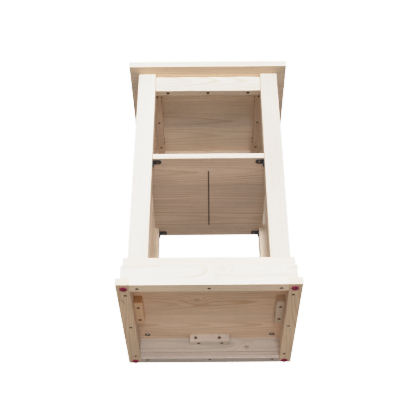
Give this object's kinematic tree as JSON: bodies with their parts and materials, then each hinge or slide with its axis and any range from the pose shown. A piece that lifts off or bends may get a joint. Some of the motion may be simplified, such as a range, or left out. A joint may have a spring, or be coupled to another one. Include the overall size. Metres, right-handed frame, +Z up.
{
  "type": "open wooden stand with shelf and stepped plinth",
  "caption": "Open four-legged softwood stand: overhanging top, aprons, grooved shelf on steel brackets, stepped hollow plinth with round pads below.",
  "frame": {"origin": "centre of the bounding box at its lowest level, where the pads touch the floor", "axes": "+Z up along the legs, +X to the right when facing the front, +Y from front to rear"},
  "size_m": [0.442, 0.436, 0.731],
  "materials": {
    "pine": "bare sanded softwood",
    "black_steel": "black coated steel",
    "zinc_steel": "zinc plated",
    "red_pad": "glossy"
  },
  "bodies": {
    "root": {"apron_front": "pine", "apron_rear": "pine", "apron_screw_front_1": "zinc_steel", "apron_screw_front_2": "zinc_steel", "apron_screw_front_3": "zinc_steel", "base_strip_front": "pine", "base_strip_left": "pine", "base_strip_rear": "pine", "base_strip_right": "pine", "bracket_leg_screw_front_left": "black_steel", "bracket_leg_screw_front_right": "black_steel", "bracket_leg_screw_rear_left": "black_steel", "bracket_leg_screw_rear_right": "black_steel", "bracket_shelf_screw_front_left": "black_steel", "bracket_shelf_screw_front_right": "black_steel", "bracket_shelf_screw_rear_left": "black_steel", "bracket_shelf_screw_rear_right": "black_steel", "cleat_front": "pine", "cleat_left": "pine", "cleat_rear": "pine", "cleat_right": "pine", "deck_board": "pine", "glide_pad_front_left": "red_pad", "glide_pad_front_right": "red_pad", "glide_pad_rear_left": "red_pad", "glide_pad_rear_right": "red_pad", "leg_bolt_front_left": "zinc_steel", "leg_bolt_front_right": "zinc_steel", "leg_bolt_rear_left": "zinc_steel", "leg_bolt_rear_right": "zinc_steel", "leg_front_left": "pine", "leg_front_right": "pine", "leg_rear_left": "pine", "leg_rear_right": "pine", "plinth_wall_front": "pine", "plinth_wall_left": "pine", "plinth_wall_rear": "pine", "plinth_wall_right": "pine", "shelf_board": "pine", "shelf_bracket_front_left": "black_steel", "shelf_bracket_front_right": "black_steel", "shelf_bracket_rear_left": "black_steel", "shelf_bracket_rear_right": "black_steel", "strip_screw_front_1": "zinc_steel", "strip_screw_front_2": "zinc_steel", "strip_screw_front_3": "zinc_steel", "strip_screw_left_1": "zinc_steel", "strip_screw_left_2": "zinc_steel", "strip_screw_left_3": "zinc_steel", "strip_screw_rear_1": "zinc_steel", "strip_screw_rear_2": "zinc_steel", "strip_screw_rear_3": "zinc_steel", "strip_screw_right_1": "zinc_steel", "strip_screw_right_2": "zinc_steel", "strip_screw_right_3": "zinc_steel", "top_board": "pine", "top_rail_left": "pine", "top_rail_right": "pine"}
  },
  "joints": []
}
